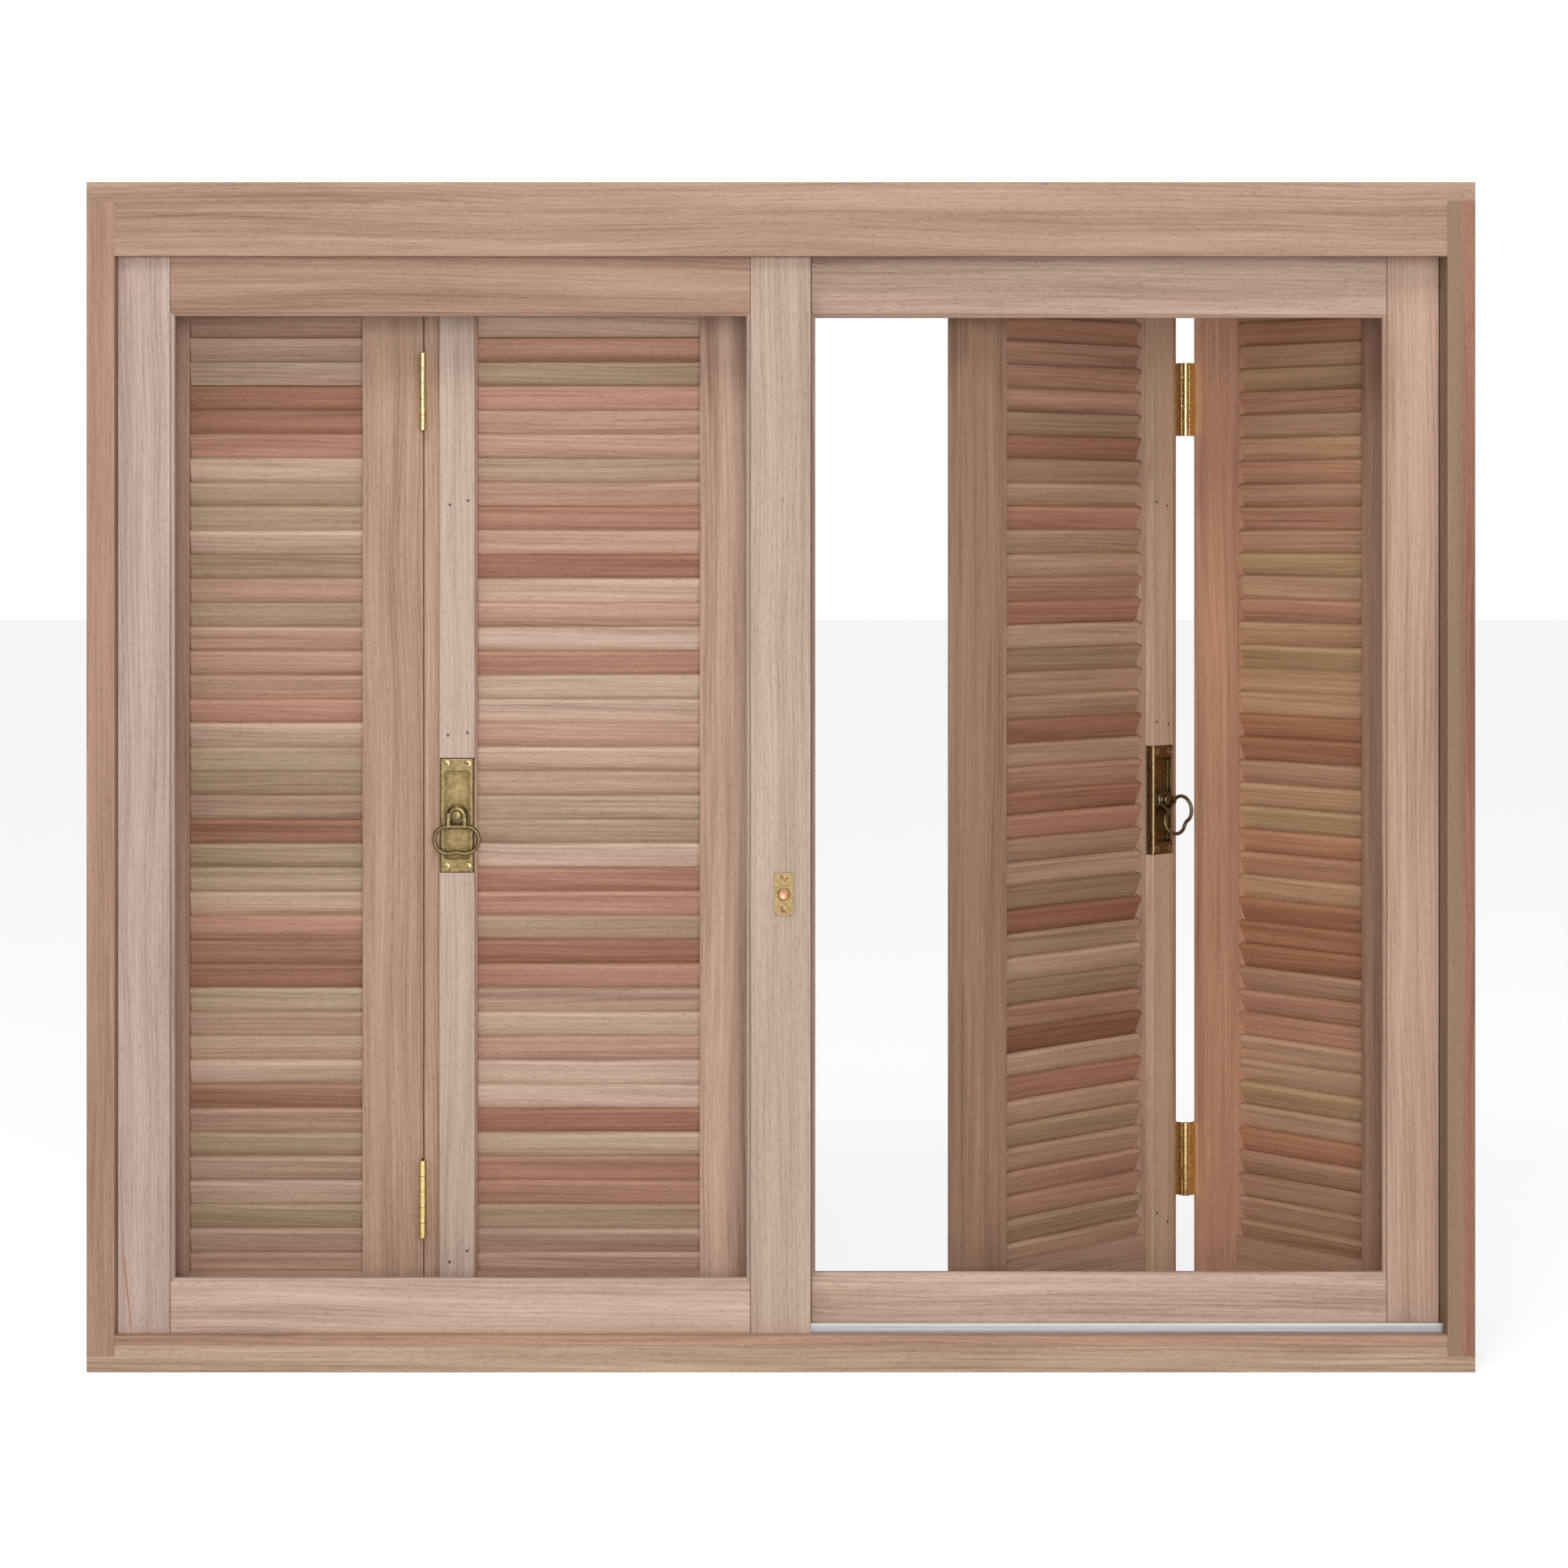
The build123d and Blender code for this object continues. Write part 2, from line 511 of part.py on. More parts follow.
with BuildPart() as leaf_2_handle:
    with BuildSketch(Plane.XZ.offset(-leaf_y)):
        with Locations((rod_x, handle_z)):
            Rectangle(handle_w, handle_h)
    extrude(amount=handle_t)
    chamfer(leaf_2_handle.faces().sort_by(Axis.Y)[0].edges(), length=1.2)
    with BuildSketch(Plane.XZ.offset(-handle_y)) as dish:
        with Locations((rod_x, handle_z)):
            Rectangle(dish_w, dish_h)
        chamfer(dish.vertices(), length=2.5)
    extrude(dish.sketch, amount=-dish_d, mode=Mode.SUBTRACT)
    bar(rod_x - pocket_w / 2, rod_x + pocket_w / 2, pocket_y, leaf_y, handle_z - pocket_h / 2,
        handle_z + pocket_h / 2, Mode.SUBTRACT)
    for way in (-1, 1):
        z0, z1 = sorted((handle_z + way * (rod_end - 0.6), handle_z + way * handle_h / 2))
        bar(rod_x - groove_half, rod_x + groove_half, groove_y, leaf_y, z0, z1, Mode.SUBTRACT)
        z0, z1 = sorted((handle_z + way * (pocket_h / 2 - 1), handle_z + way * (rod_end + 1)))
        bar(rod_x - 2.4, rod_x + 2.4, pocket_y, leaf_y, z0, z1, Mode.SUBTRACT)
    disc(rod_x, handle_z, dish_y, 5.4, -4, 0, Mode.SUBTRACT)

with BuildPart() as leaf_2_hub:
    disc(rod_x, handle_z, leaf_y, 13.4, 0.3, 2.9, sides=10)
    disc(rod_x, handle_z, leaf_y, 5.2, 2.9, 5, sides=0)
    for radius, out0, out1 in ((10.8, 5, 7), (9.2, 7, 11), (5.2, 11, 16.4)):
        disc(rod_x, handle_z, leaf_y, radius, out0, out1)
    cone(rod_x, handle_z, leaf_y, 5.2, 3.8, 16.4, 17.5)
    ring_y = leaf_y - ring_bar_y
    bar_z = handle_z - ring_drop
    for x in (rod_x - 8.3, rod_x + 8.3):
        with BuildSketch(Plane.YZ.offset(x - 1.4)) as lug:
            Polygon((ring_y - 1.8, bar_z - 3), (ring_y + 1.8, bar_z - 3), (ring_y + 3, bar_z - 1.2),
                    (ring_y + 3, handle_z - 7), (ring_y + 5.2, handle_z + 2), (ring_y - 1.5, handle_z + 2),
                    (ring_y - 3, bar_z), (ring_y - 3, bar_z - 1.2), align=None)
            with Locations((ring_y, bar_z)):
                RegularPolygon(ring_wire + 0.06, 8, major_radius=False, rotation=22.5, mode=Mode.SUBTRACT)
        extrude(lug.sketch, amount=2.8)

# The drop ring: a bar through the lugs, a round shoulder, a wider arc below and a shallow dent at the foot
bar_half, shoulder_r, belly_r, dent_d = 10.0, 13.0, 15.0, 1.5
foot_half = bar_half + shoulder_r - belly_r
foot_z1 = bar_z - shoulder_r - belly_r
half_ring = [(bar_half + shoulder_r * math.sin(math.radians(a)),
              bar_z - shoulder_r + shoulder_r * math.cos(math.radians(a))) for a in (0, 22.5, 45, 67.5, 90)]
half_ring += [(foot_half + belly_r * math.cos(math.radians(a)),
               bar_z - shoulder_r - belly_r * math.sin(math.radians(a))) for a in (18, 36, 54, 72, 90)]
half_ring += [(foot_half / 2, foot_z1 + dent_d / 2)]
ring_path = half_ring + [(0, foot_z1 + dent_d)] + [(-x, z) for x, z in reversed(half_ring)]


def wire_sections(path):
    """Eight-sided wire round a closed path in the front view, mitred at every bend."""
    sections = []
    for i, (x, z) in enumerate(path):
        before, after = path[i - 1], path[(i + 1) % len(path)]
        a0 = math.atan2(z - before[1], x - before[0])
        a1 = math.atan2(after[1] - z, after[0] - x)
        turn = (a1 - a0 + math.pi) % (2 * math.pi) - math.pi
        side = a0 + turn / 2 + math.pi / 2
        ring = []
        for k in range(8):
            a = math.radians(22.5 + 45 * k)
            across = ring_wire * math.cos(a) / math.cos(turn / 2)
            ring.append((rod_x + x + across * math.cos(side), ring_y + ring_wire * math.sin(a),
                         z + across * math.sin(side)))
        sections.append(ring)
    return sections


with BuildPart() as leaf_2_ring:
    loops = wire_sections(ring_path)
    skin = [Face(Wire.make_polygon([loops[i][k], loops[i][(k + 1) % 8], loops[j][(k + 1) % 8], loops[j][k]]))
            for i in range(len(loops)) for j in ((i + 1) % len(loops),) for k in range(8)]
    add(Solid(Shell(skin)))
    with BuildSketch(Plane.YZ.offset(rod_x - 5)) as collar:
        with Locations((ring_y, bar_z)):
            Circle(ring_wire + 0.2)
    extrude(collar.sketch, amount=10)

with BuildPart() as leaf_2_rod_upper:
    z0 = handle_z + rod_end
    peg(rod_x, rod_y, rod_r, z0, leaf_z1 - rod_throw / 2, sides=12)

with BuildPart() as leaf_2_rod_lower:
    z1 = handle_z - rod_end
    peg(rod_x, rod_y, rod_r, leaf_z0 + rod_throw / 2, z1, sides=12)

# The right pair: twins of leaves 2 and 1, swung to where it stands
half_turn = 45.0                                # the open pair's bolt stands half drawn
ring_swing = 15.0

with BuildPart() as leaf_3_stiles:
    add(swung_out(leaf_2_stiles, True))

with BuildPart() as leaf_3_rails:
    add(swung_out(leaf_2_rails, True))

with BuildPart() as leaf_3_slats:
    add(swung_out(leaf_2_slats, True))

with BuildPart() as leaf_3_battens:
    add(swung_out(leaf_2_battens, True))

with BuildPart() as leaf_3_handle:
    add(swung_out(leaf_2_handle, True))

with BuildPart() as leaf_3_fold_hinge:
    add(swung_out(leaf_2_fold_hinge, True))

with BuildPart() as hub_turned:
    add(leaf_2_hub.part.rotate(Axis((rod_x, 0, handle_z), (0, 1, 0)), half_turn))

with BuildPart() as leaf_3_hub:
    add(swung_out(hub_turned, True))

with BuildPart() as ring_turned:
    add(leaf_2_ring.part.rotate(Axis((0, ring_y, bar_z), (1, 0, 0)), -ring_swing)
        .rotate(Axis((rod_x, 0, handle_z), (0, 1, 0)), half_turn))

with BuildPart() as leaf_3_ring:
    add(swung_out(ring_turned, True))

with BuildPart() as leaf_3_rod_upper:
    add(swung_out(leaf_2_rod_upper, True).moved(Location((0, 0, rod_throw / 2))))

with BuildPart() as leaf_3_rod_lower:
    add(swung_out(leaf_2_rod_lower, True).moved(Location((0, 0, -rod_throw / 2))))

with BuildPart() as leaf_4_stiles:
    add(swung_out(leaf_1_stiles, False))

with BuildPart() as leaf_4_rails:
    add(swung_out(leaf_1_rails, False))

with BuildPart() as leaf_4_slats:
    add(swung_out(leaf_1_slats, False))

with BuildPart() as leaf_4_edge_hinge:
    add(swung_out(leaf_1_edge_hinge, False))

with BuildPart() as leaf_4_fold_hinge:
    add(swung_out(leaf_1_fold_hinge, False))

with BuildPart() as leaf_4_fold_pins:
    add(swung_out(leaf_1_fold_pins, False))

pieces = {
    "head": head, "sill": sill, "jamb_left": jamb_left, "jamb_right": jamb_right,
    "centre_post": centre_post, "pelmet": pelmet, "bottom_bead": bottom_bead,
    "rod_keepers": rod_keepers, "top_tracks": top_tracks, "bottom_guides": bottom_guides,
    "left_sash_stiles": left_sash_stiles, "left_sash_rails": left_sash_rails,
    "left_sash_hangers": left_sash_hangers, "left_wheel_outer": left_wheel_outer,
    "left_wheel_inner": left_wheel_inner, "latch_plate": latch_plate, "latch_button": latch_button,
    "latch_screws": latch_screws, "right_sash_stiles": right_sash_stiles,
    "right_sash_rails": right_sash_rails, "right_sash_hangers": right_sash_hangers,
    "right_wheel_outer": right_wheel_outer, "right_wheel_inner": right_wheel_inner,
    "jamb_hinge_left": jamb_hinge_left, "jamb_pins_left": jamb_pins_left,
    "jamb_hinge_right": jamb_hinge_right, "jamb_pins_right": jamb_pins_right,
    "leaf_1_stiles": leaf_1_stiles, "leaf_1_rails": leaf_1_rails, "leaf_1_slats": leaf_1_slats,
    "leaf_1_edge_hinge": leaf_1_edge_hinge, "leaf_1_fold_hinge": leaf_1_fold_hinge,
    "leaf_1_fold_pins": leaf_1_fold_pins,
    "leaf_2_stiles": leaf_2_stiles, "leaf_2_rails": leaf_2_rails, "leaf_2_slats": leaf_2_slats,
    "leaf_2_fold_hinge": leaf_2_fold_hinge, "leaf_2_battens": leaf_2_battens,
    "leaf_2_handle": leaf_2_handle, "leaf_2_hub": leaf_2_hub, "leaf_2_ring": leaf_2_ring,
    "leaf_2_rod_upper": leaf_2_rod_upper, "leaf_2_rod_lower": leaf_2_rod_lower,
    "leaf_3_stiles": leaf_3_stiles, "leaf_3_rails": leaf_3_rails, "leaf_3_slats": leaf_3_slats,
    "leaf_3_fold_hinge": leaf_3_fold_hinge, "leaf_3_battens": leaf_3_battens,
    "leaf_3_handle": leaf_3_handle, "leaf_3_hub": leaf_3_hub, "leaf_3_ring": leaf_3_ring,
    "leaf_3_rod_upper": leaf_3_rod_upper, "leaf_3_rod_lower": leaf_3_rod_lower,
    "leaf_4_stiles": leaf_4_stiles, "leaf_4_rails": leaf_4_rails, "leaf_4_slats": leaf_4_slats,
    "leaf_4_edge_hinge": leaf_4_edge_hinge, "leaf_4_fold_hinge": leaf_4_fold_hinge,
    "leaf_4_fold_pins": leaf_4_fold_pins,
}
for name, piece in pieces.items():
    piece.part.label = name
    export_step(piece.part, f"parts/{name}.step")
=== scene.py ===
import bpy
import math
import numpy as np
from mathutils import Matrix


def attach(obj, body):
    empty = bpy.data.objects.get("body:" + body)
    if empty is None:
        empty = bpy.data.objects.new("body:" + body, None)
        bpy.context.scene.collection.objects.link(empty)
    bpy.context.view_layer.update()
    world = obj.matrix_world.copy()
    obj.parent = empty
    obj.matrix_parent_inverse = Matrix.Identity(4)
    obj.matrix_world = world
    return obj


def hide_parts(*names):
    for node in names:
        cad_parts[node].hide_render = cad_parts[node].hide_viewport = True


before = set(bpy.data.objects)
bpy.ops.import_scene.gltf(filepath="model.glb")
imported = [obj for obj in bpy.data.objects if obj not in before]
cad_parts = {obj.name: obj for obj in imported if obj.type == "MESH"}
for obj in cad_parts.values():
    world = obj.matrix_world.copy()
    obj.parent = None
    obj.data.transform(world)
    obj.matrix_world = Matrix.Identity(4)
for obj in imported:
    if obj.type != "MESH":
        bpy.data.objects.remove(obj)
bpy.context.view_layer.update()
scene = bpy.context.scene


class Finish:
    """A finish being built up: each method adds one node and gives back what it puts out."""

    def __init__(self, name):
        self.material = bpy.data.materials.new(name)
        self.material.use_nodes = True
        self.tree = self.material.node_tree
        self.tree.nodes.clear()
        self.where = self.add("ShaderNodeTexCoord").outputs["Object"]

    def add(self, kind, settings=None, **sockets):
        node = self.tree.nodes.new(kind)
        for key, value in (settings or {}).items():
            setattr(node, key, value)
        for key, value in sockets.items():
            by_place = key[0] == "i" and key[1:].isdigit()
            spot = node.inputs[int(key[1:]) if by_place else key.replace("_", " ")]
            if isinstance(value, bpy.types.NodeSocket):
                self.tree.links.new(value, spot)
            else:
                spot.default_value = value
        return node

    def sum(self, operation, a, b=0.0, c=0.0, clamp=False):
        node = self.add("ShaderNodeMath", {"operation": operation, "use_clamp": clamp}, i0=a, i1=b, i2=c)
        return node.outputs[0]

    def split(self, vector):
        return self.add("ShaderNodeSeparateXYZ", i0=vector).outputs

    def join(self, x, y, z):
        return self.add("ShaderNodeCombineXYZ", i0=x, i1=y, i2=z).outputs[0]

    def placed(self, vector, shift=(0, 0, 0), turn=(0, 0, 0), size=(1, 1, 1)):
        node = self.add("ShaderNodeMapping", i0=vector)
        node.inputs["Location"].default_value = shift
        node.inputs["Rotation"].default_value = turn
        node.inputs["Scale"].default_value = size
        return node.outputs[0]

    def noise(self, vector, size=1.0, detail=3.0, rough=0.5):
        node = self.add("ShaderNodeTexNoise", Vector=vector, Scale=size, Detail=detail, Roughness=rough)
        return node.outputs["Fac"]

    def between(self, value, low, high, to_low=0.0, to_high=1.0):
        node = self.add("ShaderNodeMapRange", {"clamp": True})
        node.inputs[1].default_value, node.inputs[2].default_value = low, high
        node.inputs[3].default_value, node.inputs[4].default_value = to_low, to_high
        self.tree.links.new(value, node.inputs[0])
        return node.outputs[0]

    def blend(self, share, a, b, kind="MIX"):
        node = self.add("ShaderNodeMix", {"data_type": "RGBA", "blend_type": kind, "clamp_result": False})
        for spot, value in ((0, share), (6, a), (7, b)):
            if isinstance(value, bpy.types.NodeSocket):
                self.tree.links.new(value, node.inputs[spot])
            else:
                node.inputs[spot].default_value = value if spot == 0 else (*value, 1.0)
        return node.outputs[2]

    def steps(self, value, stops, smooth=False):
        node = self.add("ShaderNodeValToRGB", i0=value)
        ramp = node.color_ramp
        ramp.interpolation = "LINEAR" if smooth else "CONSTANT"
        while len(ramp.elements) < len(stops):
            ramp.elements.new(1.0)
        for element, (place, tone) in zip(ramp.elements, stops):
            element.position, element.color = place, (*tone, 1.0)
        return node.outputs[0]

    def soft_edge(self, radius):
        return self.add("ShaderNodeBevel", {"samples": 4}, Radius=radius).outputs[0]

    def done(self, colour, roughness, height, metallic=0.0, depth=0.0002, edge=0.0008, specular=0.5):
        """Joins colour, roughness and relief to the shader."""
        bump = self.add("ShaderNodeBump", Strength=1.0, Distance=depth, Height=height,
                        Normal=self.soft_edge(edge))
        shader = self.add("ShaderNodeBsdfPrincipled", Metallic=metallic, Base_Color=colour,
                          Roughness=roughness, Specular_IOR_Level=specular, Normal=bump.outputs[0])
        out = self.add("ShaderNodeOutputMaterial")
        self.tree.links.new(shader.outputs[0], out.inputs[0])
        return self.material


# Where the open pair stands, so that its grain can be laid out as if the leaves were shut
jamb_pin, fold_pin = np.array([0.671, 0.061]), np.array([0.3695, 0.017])
open_turn, fold_turn = 50, 96           # degrees that the outer leaf has swung and the inner one folded

# Slats: their lean, the depth and height of the lowest one's middle, and the step square to them
slat_lean = math.radians(23)
slat_y, slat_z, slat_step = 0.03935, 0.09695, 0.00975


def turn_about(degrees, pin):
    """Turn and shift of a turn about an upright pin: shift is the pin less the turned pin."""
    a = math.radians(degrees)
    r = np.array([[math.cos(a), -math.sin(a)], [math.sin(a), math.cos(a)]])
    return r, pin - r @ pin


def shut_again(leaf):
    """Angle and shift that carry leaf 4 or leaf 3 back to where it stands when shut."""
    _, shift = turn_about(open_turn, jamb_pin)
    if leaf == 4:
        return math.radians(open_turn), shift
    back, more = turn_about(-fold_turn, fold_pin)
    return math.radians(open_turn - fold_turn), back @ shift + more


def wood(name, grain, boards, split=None, leaf=0, slatted=None, seed=0.0, streak=1.0, marks=()):
    """Raw planed wood. Boards are tones; split names the axis and the limits where one board ends and
    the next begins. Streaks are noise drawn out along the grain at three widths, and the figure is the
    distance from a slanting heart line, taken in steps of a few millimetres."""
    f = Finish(name)
    where = f.where
    if leaf in (3, 4):
        angle, shift = shut_again(leaf)
        where = f.placed(where, (shift[0], shift[1], 0), (0, 0, angle))
    x, y, z = f.split(where)
    across, along = (x, z) if grain == "z" else (z, x)
    tone = boards[0]
    if slatted:
        place = f.sum("ADD",
                      f.sum("MULTIPLY", f.sum("SUBTRACT", y, slat_y), math.cos(slat_lean) / slat_step),
                      f.sum("MULTIPLY", f.sum("SUBTRACT", z, slat_z), math.sin(slat_lean) / slat_step))
        slat = f.sum("FLOOR", f.sum("ADD", place, 0.5))
        cast = f.add("ShaderNodeTexWhiteNoise", {"noise_dimensions": "1D"}, W=f.sum("ADD", slat, 0.37 + seed))
        tint = f.steps(cast.outputs["Value"], slatted)
        tone = f.blend(1.0, boards[0], tint, "MULTIPLY")
        along = f.sum("ADD", along, f.sum("MULTIPLY", slat, 1.73))
        across = f.sum("ADD", across, f.sum("MULTIPLY", slat, 0.31))
    elif split:
        axis, limits = split
        line = x if axis == "x" else z
        for board, limit in zip(boards[1:], limits):
            tone = f.blend(f.sum("GREATER_THAN", line, limit), tone, board)
            step = f.sum("GREATER_THAN", line, limit)
            along = f.sum("ADD", along, f.sum("MULTIPLY", step, 2.3))
    lie = f.join(across, y, along)
    drift = f.noise(f.placed(lie, (seed, seed, seed), size=(4, 4, 2.2)), 1.0, 2)
    across = f.sum("ADD", across, f.sum("MULTIPLY", f.sum("SUBTRACT", drift, 0.5), 0.022))
    lie = f.join(across, y, along)

    def streaks(width, length, detail, more):
        drawn = f.placed(lie, (seed + more, seed * 0.7, more), size=(1 / width, 1 / width, 1 / length))
        return f.noise(drawn, 1.0, detail, 0.55)

    broad = streaks(0.017, 0.55, 2, 1.3)
    middle = streaks(0.0034, 0.16, 3, 5.1)
    fine = streaks(0.0007, 0.030, 2, 9.7)
    pores = f.between(streaks(0.00045, 0.007, 1, 14.2), 0.62, 0.74)
    heart = f.join(f.sum("ADD", f.sum("ADD", across, 0.013 + seed * 0.01), f.sum("MULTIPLY", along, 0.012)),
                   f.sum("ADD", y, 0.045), 0.0)
    ring = f.add("ShaderNodeVectorMath", {"operation": "LENGTH"}, i0=heart).outputs["Value"]
    ring = f.sum("ADD", f.sum("MULTIPLY", ring, 210.0), f.sum("MULTIPLY", broad, 2.6))
    ring = f.sum("FRACT", ring)
    ring = f.sum("MULTIPLY", f.between(ring, 0.05, 0.86), f.between(ring, 0.88, 1.0, 1.0, 0.0))
    light = f.sum("ADD", f.sum("MULTIPLY", f.sum("SUBTRACT", broad, 0.5), 1.5 * streak),
                  f.sum("MULTIPLY", f.sum("SUBTRACT", middle, 0.5), 1.1 * streak))
    light = f.sum("ADD", light, f.sum("MULTIPLY", f.sum("SUBTRACT", fine, 0.5), 0.65))
    light = f.sum("ADD", light, f.sum("MULTIPLY", f.sum("SUBTRACT", ring, 0.5), -0.22))
    shade = f.steps(f.between(light, -0.75, 0.75), [(0.0, (0.52, 0.43, 0.37)), (0.5, (0.98, 0.98, 0.98)),
                                                   (1.0, (1.36, 1.44, 1.50))], smooth=True)
    colour = f.blend(1.0, tone, shade, "MULTIPLY")
    colour = f.blend(f.sum("MULTIPLY", pores, 0.34), colour, (0.11, 0.055, 0.03))
    for mark in marks:
        colour = mark(f, colour, x, y, z, middle)
    relief = f.sum("SUBTRACT", f.sum("MULTIPLY", fine, 0.6), f.sum("MULTIPLY", pores, 0.7))
    rough = f.between(middle, 0.3, 0.7, 0.66, 0.80)
    return f.done(colour, rough, relief, depth=0.00022, specular=0.25, edge=0.0018 if slatted else 0.0009)


def resin_line(x0, z0, x1, z1, tone, wide=0.0011):
    """A thin stained line from one point to another: distance from the line, faded at its ends."""
    def mark(f, colour, x, y, z, middle):
        run = math.hypot(x1 - x0, z1 - z0)
        ax, az = (x1 - x0) / run, (z1 - z0) / run
        px, pz = f.sum("SUBTRACT", x, x0), f.sum("SUBTRACT", z, z0)
        along = f.sum("ADD", f.sum("MULTIPLY", px, ax), f.sum("MULTIPLY", pz, az))
        off = f.sum("ABSOLUTE", f.sum("SUBTRACT", f.sum("MULTIPLY", px, az), f.sum("MULTIPLY", pz, ax)))
        near = f.between(off, 0.0003, wide, 1.0, 0.0)
        ends = f.sum("MULTIPLY", f.between(along, -0.004, 0.006),
                     f.between(along, run - 0.01, run + 0.004, 1, 0))
        return f.blend(f.sum("MULTIPLY", f.sum("MULTIPLY", near, ends), 0.85), colour, tone)
    return mark


def seams(*lines):
    """Fine dark joint lines across the board at the given places."""
    def mark(f, colour, x, y, z, middle):
        for line in lines:
            off = f.sum("ABSOLUTE", f.sum("SUBTRACT", x, line))
            colour = f.blend(f.between(off, 0.0002, 0.0008, 0.7, 0.0), colour, (0.10, 0.05, 0.03))
        return colour
    return mark


def side_band(limit, soft, tone, share):
    """A board's left edge of another colour: a soft step across the board, frayed by the grain."""
    def mark(f, colour, x, y, z, middle):
        line = f.sum("ADD", x, f.sum("MULTIPLY", f.sum("SUBTRACT", middle, 0.5), 0.010))
        return f.blend(f.between(line, limit - soft, limit + soft, share, 0.0), colour, tone)
    return mark


def metal(name, bright, dull, worn, roughness, mottle=0.0, recess=0.0):
    """Cast or rolled metal: two tones clouded together, rubbed bright on edges and dark in corners."""
    f = Finish(name)
    cloud = f.noise(f.placed(f.where, size=(260, 260, 260)), 1.0, 4, 0.6)
    speck = f.noise(f.placed(f.where, size=(1300, 1300, 1300)), 1.0, 2)
    colour = f.blend(f.between(cloud, 0.32, 0.68), dull, bright)
    if mottle:
        colour = f.blend(f.sum("MULTIPLY", f.between(speck, 0.5, 0.72), mottle), colour, dull)
    if recess:
        shut = f.add("ShaderNodeAmbientOcclusion", {"samples": 6}, Distance=0.012).outputs["AO"]
        colour = f.blend(f.between(shut, 0.35, 0.95, recess, 0.0), colour, tuple(0.30 * c for c in dull))
    turned_edge = f.add("ShaderNodeVectorMath", {"operation": "DOT_PRODUCT"}, i0=f.soft_edge(0.0011),
                        i1=f.add("ShaderNodeNewGeometry").outputs["Normal"]).outputs["Value"]
    rub = f.sum("MULTIPLY", f.between(turned_edge, 0.80, 0.985, 0.9, 0.0), f.between(cloud, 0.25, 0.55))
    colour = f.blend(rub, colour, worn)
    rough = f.sum("ADD", f.between(cloud, 0.3, 0.7, roughness - 0.05, roughness + 0.08),
                  f.sum("MULTIPLY", rub, -0.08))
    return f.done(colour, rough, f.sum("ADD", cloud, f.sum("MULTIPLY", speck, 0.4)), metallic=1.0,
                  depth=0.00012, edge=0.0005)


def plain(name, tone, roughness, metallic=0.0, lines=False):
    """Drawn aluminium or moulded plastic, with faint lines along its length or a fine cloud."""
    f = Finish(name)
    size = (3, 900, 900) if lines else (700, 700, 700)
    cloud = f.noise(f.placed(f.where, size=size), 1.0, 3)
    colour = f.blend(f.between(cloud, 0.3, 0.7), tuple(0.86 * c for c in tone), tuple(1.08 * c for c in tone))
    rough = f.between(cloud, 0.3, 0.7, roughness - 0.05, roughness + 0.07)
    return f.done(colour, rough, cloud, metallic=metallic, depth=0.00006, edge=0.0003)


# Casts of single slats: each slat draws one, by the share of draws at which a cast begins
slat_casts = [(0.0, (1.02, 1.02, 1.02)), (0.13, (1.22, 1.32, 1.36)), (0.25, (0.88, 0.72, 0.64)),
              (0.36, (1.10, 1.02, 1.04)), (0.48, (1.05, 1.16, 1.06)), (0.60, (1.08, 0.92, 0.88)),
              (0.70, (0.90, 0.96, 0.86)), (0.80, (1.16, 1.20, 1.16)), (0.90, (0.76, 0.58, 0.50)),
              (0.95, (1.06, 0.98, 0.96))]

